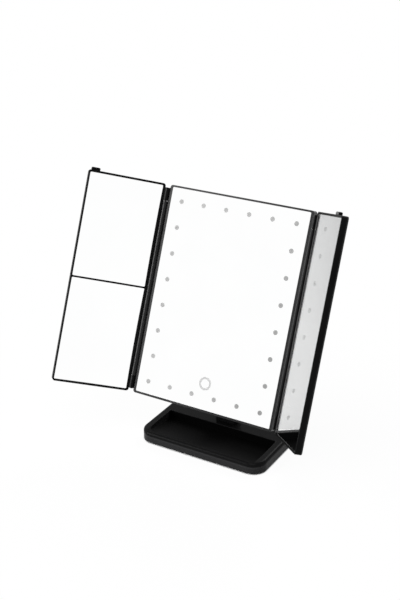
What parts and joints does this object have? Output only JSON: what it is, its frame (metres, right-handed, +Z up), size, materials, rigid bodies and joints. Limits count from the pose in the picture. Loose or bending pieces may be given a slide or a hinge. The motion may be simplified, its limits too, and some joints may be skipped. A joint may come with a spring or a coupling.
{
  "type": "folding make-up mirror",
  "caption": "Free-standing black make-up mirror with a lamp-ringed centre panel, folding side wings, a tilting neck and a tray base.",
  "frame": {"origin": "on the table, under the middle of the base's anti-slip pad", "axes": "+Z up, -Y towards the person at the mirror, +X to that person's right"},
  "size_m": [0.3166, 0.1648, 0.3043],
  "materials": {
    "satin_black": "satin moulded ABS, black",
    "matt_black": "fine spark-eroded grain on moulded ABS, black",
    "black_rubber": "anti-slip sheet",
    "bare_steel": "cut steel",
    "zinc_screw": "zinc plated",
    "silver_mirror": "silvered, back painted",
    "foam_tape": "closed-cell foam tape",
    "white_board": "white solder mask",
    "green_board": "green solder mask",
    "lamp_white": "clear resin over phosphor",
    "copper_foil": "copper foil",
    "plated_shell": "nickel plated sheet",
    "cell_wrap": "shrink sleeve, plain grey",
    "nylon_washer": "moulded nylon"
  },
  "bodies": {
    "stand": {"base_tray": "satin_black", "base_bottom_plate": "matt_black", "base_pad": "black_rubber", "base_weights": "bare_steel", "base_screws": "zinc_screw", "neck_front": "satin_black", "neck_rear": "satin_black", "neck_clamp_screws": "zinc_screw", "neck_foot_screws": "zinc_screw"},
    "head": {"centre_frame": "satin_black", "centre_mirror": "silver_mirror", "centre_mirror_pads": "foam_tape", "led_board": "white_board", "leds": "lamp_white", "touch_sensor": "copper_foil", "centre_back_cover": "matt_black", "back_cover_screws": "zinc_screw", "control_board": "green_board", "usb_socket": "plated_shell", "switch_body": "plated_shell", "battery_cells": "cell_wrap", "battery_contacts": "plated_shell", "tilt_bolt": "zinc_screw", "tilt_nut": "zinc_screw", "tilt_washers": "nylon_washer", "left_hinge_pins": "bare_steel", "right_hinge_pins": "bare_steel"},
    "left_wing": {"left_wing_frame": "satin_black", "left_wing_back": "matt_black", "left_upper_mirror": "silver_mirror", "left_lower_mirror": "silver_mirror", "left_mirror_pads": "foam_tape"},
    "right_wing": {"right_wing_frame": "satin_black", "right_wing_back": "matt_black", "right_mirror": "silver_mirror", "right_mirror_pads": "foam_tape"},
    "power_switch": {"switch_slider": "satin_black"},
    "battery_door": {"battery_cover": "matt_black"}
  },
  "joints": [
    {"name": "tilt", "type": "hinge", "parent": "stand", "child": "head", "pos_m": [0, 0.0165, 0.1275], "axis": [-1, 0, 0], "range_deg": [-26.5, 62.5]},
    {"name": "left_wing_fold", "type": "hinge", "parent": "head", "child": "left_wing", "pos_m": [-0.0912, 0.00084, 0.16808], "axis": [0, 0.3827, 0.9239], "range_deg": [-43.5, 136.5]},
    {"name": "right_wing_fold", "type": "hinge", "parent": "head", "child": "right_wing", "pos_m": [0.0912, 0.00084, 0.16808], "axis": [0, -0.3827, -0.9239], "range_deg": [-51, 129]},
    {"name": "power_switch_slide", "type": "slide", "parent": "head", "child": "power_switch", "axis": [1, 0, 0], "range_m": [0, 0.003]},
    {"name": "battery_door_pull", "type": "slide", "parent": "head", "child": "battery_door", "axis": [0, 0.9239, -0.3827], "range_m": [0, 0.02]}
  ]
}
